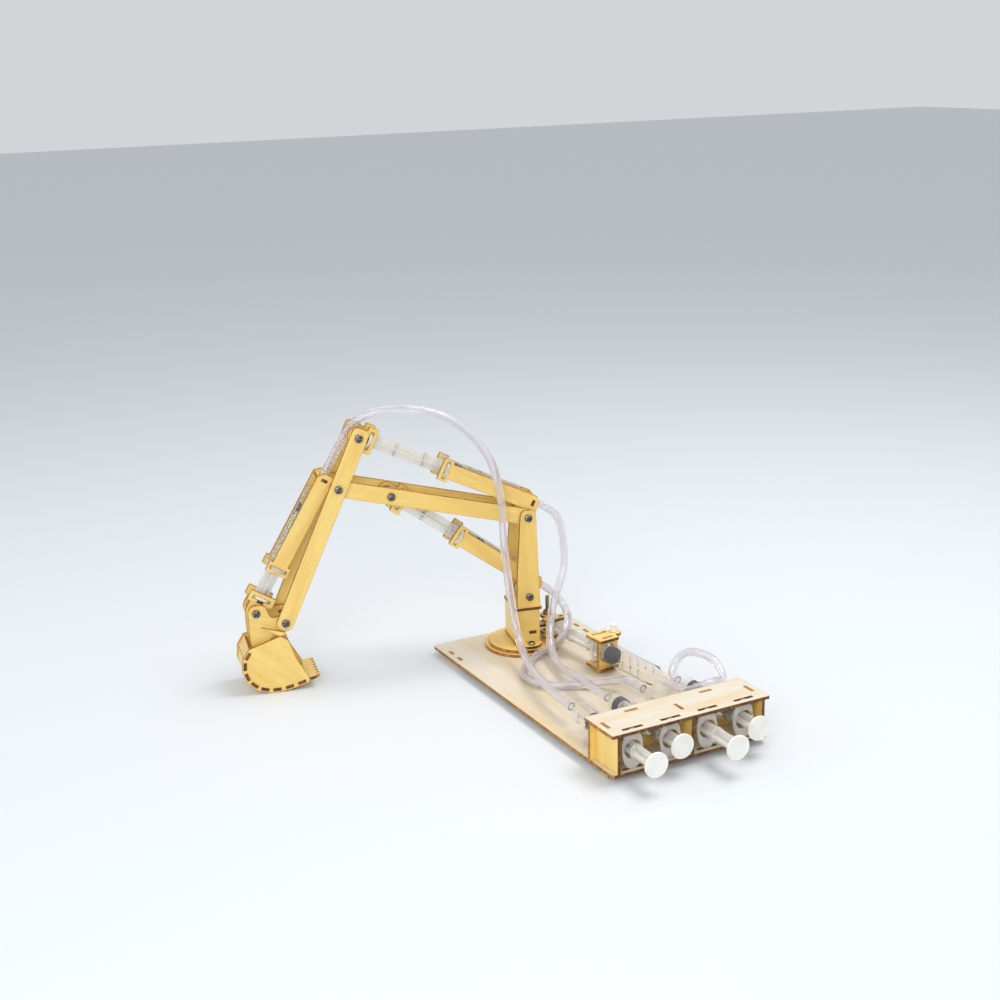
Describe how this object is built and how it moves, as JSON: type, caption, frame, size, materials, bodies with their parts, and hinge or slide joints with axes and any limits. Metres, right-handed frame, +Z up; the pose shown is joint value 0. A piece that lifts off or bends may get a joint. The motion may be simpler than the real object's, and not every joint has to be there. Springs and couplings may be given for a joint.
{
  "type": "hydraulic arm kit",
  "caption": "Plywood excavator arm on a turntable, moved by water-filled syringes joined by tubes to hand syringes on a console.",
  "frame": {"origin": "turntable axis on the table that the kit stands on", "axes": "+X along the board towards the control console, +Y across the board, +Z up"},
  "size_m": [0.2926, 0.2572, 0.1874],
  "materials": {
    "plywood": "bare laser-cut plywood, satin",
    "clear_barrel": "clear polypropylene, glossy",
    "milky_plunger": "translucent milky plastic",
    "black_seal": "smooth black rubber",
    "clear_tube": "clear silicone, glossy",
    "dark_screw": "dark nickel, glossy",
    "brass_screw": "zinc-yellow plated screw",
    "white_pin": "white nylon"
  },
  "bodies": {
    "base": {"base_board": "plywood", "base_rails": "plywood", "turntable_base": "plywood", "turntable_bolt": "dark_screw", "console_top": "plywood", "console_back_wall": "plywood", "console_sides": "plywood", "console_divider": "plywood", "control_barrels": "clear_barrel", "swing_pivot_pin": "white_pin", "tube_bucket": "clear_tube", "tube_stick": "clear_tube", "tube_boom": "clear_tube", "tube_swing": "clear_tube"},
    "turntable": {"turntable_disc": "plywood", "mast_foot": "plywood", "swing_crank": "plywood", "mast_base": "plywood", "mast_plank_near": "plywood", "mast_plank_far": "plywood", "mast_shelf": "plywood", "mast_bolts": "dark_screw", "crank_pin": "brass_screw"},
    "boom": {"boom_plank_near": "plywood", "boom_plank_far": "plywood", "boom_bolt": "dark_screw"},
    "stick": {"stick_plank_near": "plywood", "stick_plank_far": "plywood", "stick_bolts": "dark_screw"},
    "bucket": {"bucket_side_near": "plywood", "bucket_side_far": "plywood", "bucket_slats": "plywood", "bucket_teeth": "plywood", "bucket_ears": "plywood", "bucket_bolt": "dark_screw"},
    "boom_cylinder": {"boom_cage": "plywood", "boom_barrel": "clear_barrel"},
    "boom_rod": {"boom_plunger": "milky_plunger", "boom_seal": "black_seal", "boom_clevis": "plywood"},
    "stick_cylinder": {"stick_cage": "plywood", "stick_barrel": "clear_barrel"},
    "stick_rod": {"stick_plunger": "milky_plunger", "stick_seal": "black_seal", "stick_clevis": "plywood"},
    "bucket_cylinder": {"bucket_cage": "plywood", "bucket_barrel": "clear_barrel"},
    "bucket_rod": {"bucket_plunger": "milky_plunger", "bucket_seal": "black_seal", "bucket_clevis": "plywood"},
    "swing_cylinder": {"swing_bracket": "plywood", "swing_barrel": "clear_barrel"},
    "swing_rod": {"swing_plunger": "milky_plunger", "swing_seal": "black_seal", "swing_clevis": "plywood"},
    "boom_control": {"control_plunger_boom": "milky_plunger"},
    "stick_control": {"control_plunger_stick": "milky_plunger"},
    "bucket_control": {"control_plunger_bucket": "milky_plunger"},
    "swing_control": {"control_plunger_swing": "milky_plunger"}
  },
  "joints": [
    {"name": "turntable_swing", "type": "hinge", "parent": "base", "child": "turntable", "pos_m": [0, 0, 0], "axis": [0, 0, 1], "range_deg": [-40, 9], "deforming": ["tube_boom", "tube_stick", "tube_bucket"]},
    {"name": "boom_lift", "type": "hinge", "parent": "turntable", "child": "boom", "pos_m": [0.00033, 0.00146, 0.1029], "axis": [-0.9755, 0.2198, 0], "range_deg": [-30, 12]},
    {"name": "stick_swing", "type": "hinge", "parent": "boom", "child": "stick", "pos_m": [-0.02812, -0.12479, 0.13565], "axis": [-0.9755, 0.2198, 0], "range_deg": [0, 45]},
    {"name": "bucket_tilt", "type": "hinge", "parent": "stick", "child": "bucket", "pos_m": [-0.03689, -0.16367, 0.04722], "axis": [-0.9755, 0.2198, 0], "range_deg": [-30, 30]},
    {"name": "boom_cylinder_tilt", "type": "hinge", "parent": "turntable", "child": "boom_cylinder", "pos_m": [0.00033, 0.00146, 0.0457], "axis": [-0.9755, 0.2198, 0], "range_deg": [-23.1, 9.42]},
    {"name": "stick_cylinder_tilt", "type": "hinge", "parent": "boom", "child": "stick_cylinder", "pos_m": [0.00033, 0.00146, 0.1029], "axis": [-0.9755, 0.2198, 0], "range_deg": [-4.61, 0.3]},
    {"name": "bucket_cylinder_tilt", "type": "hinge", "parent": "stick", "child": "bucket_cylinder", "pos_m": [-0.02812, -0.12479, 0.13565], "axis": [-0.9755, 0.2198, 0], "range_deg": [-1.03, 1.03]},
    {"name": "swing_cylinder_tilt", "type": "hinge", "parent": "base", "child": "swing_cylinder", "pos_m": [0.066, 0.034, 0.0194], "axis": [0, 0, 1], "range_deg": [-1.88, 7.33], "deforming": ["tube_swing"]},
    {"name": "boom_rod_slide", "type": "slide", "parent": "boom_cylinder", "child": "boom_rod", "axis": [-0.1776, -0.788, 0.5894], "range_m": [-0.0249, 0.0101]},
    {"name": "boom_control_slide", "type": "slide", "parent": "base", "child": "boom_control", "axis": [1, 0, 0], "range_m": [-0.0101, 0.0249]},
    {"name": "stick_rod_slide", "type": "slide", "parent": "stick_cylinder", "child": "stick_rod", "axis": [-0.1982, -0.8794, 0.4328], "range_m": [-0.0273, 0.0002]},
    {"name": "stick_control_slide", "type": "slide", "parent": "base", "child": "stick_control", "axis": [1, 0, 0], "range_m": [-0.0002, 0.0273]},
    {"name": "bucket_rod_slide", "type": "slide", "parent": "bucket_cylinder", "child": "bucket_rod", "axis": [-0.1114, -0.4943, -0.8621], "range_m": [-0.0104, 0.0104]},
    {"name": "bucket_control_slide", "type": "slide", "parent": "base", "child": "bucket_control", "axis": [1, 0, 0], "range_m": [-0.0104, 0.0104]},
    {"name": "swing_rod_slide", "type": "slide", "parent": "swing_cylinder", "child": "swing_rod", "axis": [-0.9955, -0.095, 0], "range_m": [-0.0089, 0.0022]},
    {"name": "swing_control_slide", "type": "slide", "parent": "base", "child": "swing_control", "axis": [1, 0, 0], "range_m": [-0.0022, 0.0089]}
  ],
  "couplings": [
    {"joint": "boom_cylinder_tilt", "follows": "boom_lift", "ratio": 0.7601},
    {"joint": "boom_rod_slide", "follows": "boom_lift", "m_per_rad": 0.04721},
    {"joint": "boom_control_slide", "follows": "boom_lift", "m_per_rad": -0.04721},
    {"joint": "stick_cylinder_tilt", "follows": "stick_swing", "ratio": -0.0957},
    {"joint": "stick_rod_slide", "follows": "stick_swing", "m_per_rad": -0.03447},
    {"joint": "stick_control_slide", "follows": "stick_swing", "m_per_rad": 0.03447},
    {"joint": "bucket_cylinder_tilt", "follows": "bucket_tilt", "ratio": 0.0244},
    {"joint": "bucket_rod_slide", "follows": "bucket_tilt", "m_per_rad": -0.01941},
    {"joint": "bucket_control_slide", "follows": "bucket_tilt", "m_per_rad": 0.01941},
    {"joint": "swing_cylinder_tilt", "follows": "turntable_swing", "ratio": -0.1757},
    {"joint": "swing_rod_slide", "follows": "turntable_swing", "m_per_rad": 0.01243},
    {"joint": "swing_control_slide", "follows": "turntable_swing", "m_per_rad": -0.01243}
  ]
}
